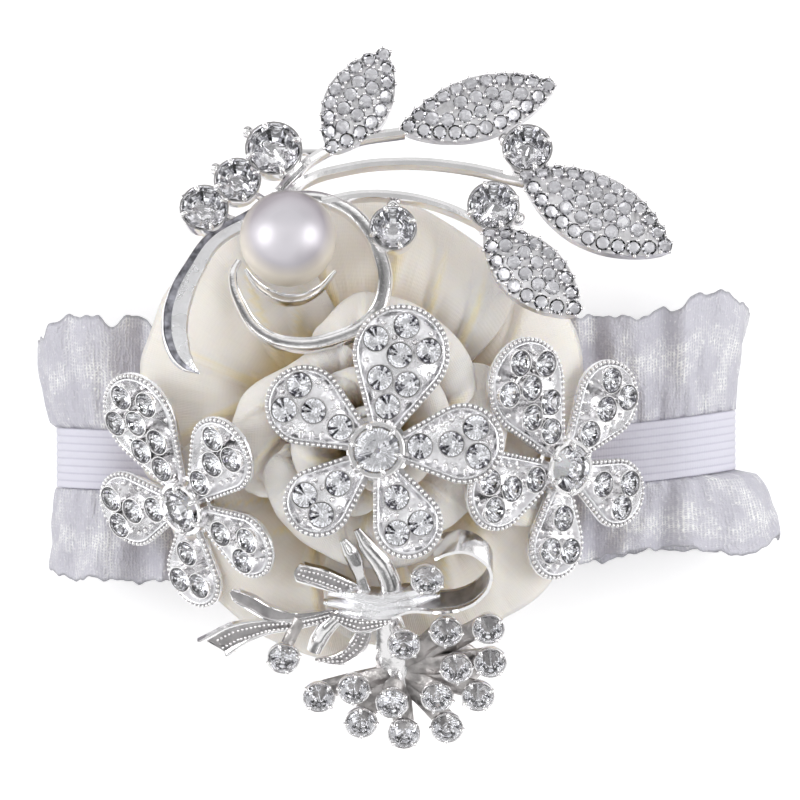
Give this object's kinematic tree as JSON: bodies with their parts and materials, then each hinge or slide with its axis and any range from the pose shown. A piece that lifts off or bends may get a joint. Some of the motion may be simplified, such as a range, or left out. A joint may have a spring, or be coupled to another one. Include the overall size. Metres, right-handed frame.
{
  "type": "wrist corsage",
  "caption": "Wrist corsage: a folded ivory satin rose with rhinestone flower, leaf spray and bow brooches on a ruffled organza elastic wristband.",
  "frame": {"origin": "on the flat outer face of the elastic band's back run, under the middle of the rose", "axes": "+X along the band's front and back runs, +Y towards the leaf spray and through the wrist opening, +Z out of the face of the rose"},
  "size_m": [0.1027, 0.0977, 0.0509],
  "materials": {
    "elastic_knit": "ribbed woven elastic, white with a cool cast",
    "organza": "crinkled sheer organza with a bright edge",
    "felt": "pressed felt, ivory",
    "satin": "ivory satin with a soft sheen",
    "plated_casting": "bright silver plate over a casting",
    "rhinestone": "clear cut stone with a foiled back",
    "pearl_coat": "pearl lacquer"
  },
  "bodies": {
    "root": {"elastic_band": "elastic_knit", "upper_ruffle": "organza", "lower_ruffle": "organza", "felt_backing": "felt", "rose_base": "satin", "outer_petal_1": "satin", "outer_petal_2": "satin", "outer_petal_3": "satin", "outer_petal_4": "satin", "outer_petal_5": "satin", "middle_petal_1": "satin", "middle_petal_2": "satin", "middle_petal_3": "satin", "middle_petal_4": "satin", "inner_petal_1": "satin", "inner_petal_2": "satin", "rose_bud": "satin", "left_flower_casting": "plated_casting", "left_flower_petal_stones": "rhinestone", "left_flower_centre_stone": "rhinestone", "right_flower_casting": "plated_casting", "right_flower_petal_stones": "rhinestone", "right_flower_centre_stone": "rhinestone", "centre_flower_casting": "plated_casting", "centre_flower_petal_stones": "rhinestone", "centre_flower_centre_stone": "rhinestone", "spray_casting": "plated_casting", "leaf_pave_1": "rhinestone", "leaf_pave_2": "rhinestone", "leaf_pave_3": "rhinestone", "leaf_pave_4": "rhinestone", "pearl": "pearl_coat", "spray_stone_1": "rhinestone", "spray_stone_2": "rhinestone", "spray_stone_3": "rhinestone", "spray_stone_4": "rhinestone", "spray_stone_5": "rhinestone", "spray_stone_6": "rhinestone", "bow_casting": "plated_casting", "bow_stone_1": "rhinestone", "bow_stone_2": "rhinestone", "bow_stone_3": "rhinestone", "bow_stone_4": "rhinestone", "bow_stone_5": "rhinestone", "bow_stone_6": "rhinestone", "bow_stone_7": "rhinestone", "bow_stone_8": "rhinestone", "bow_stone_9": "rhinestone", "bow_stone_10": "rhinestone", "bow_stone_11": "rhinestone", "bow_stone_12": "rhinestone", "bow_stone_13": "rhinestone", "bow_stone_14": "rhinestone", "bow_stone_15": "rhinestone"}
  },
  "joints": []
}
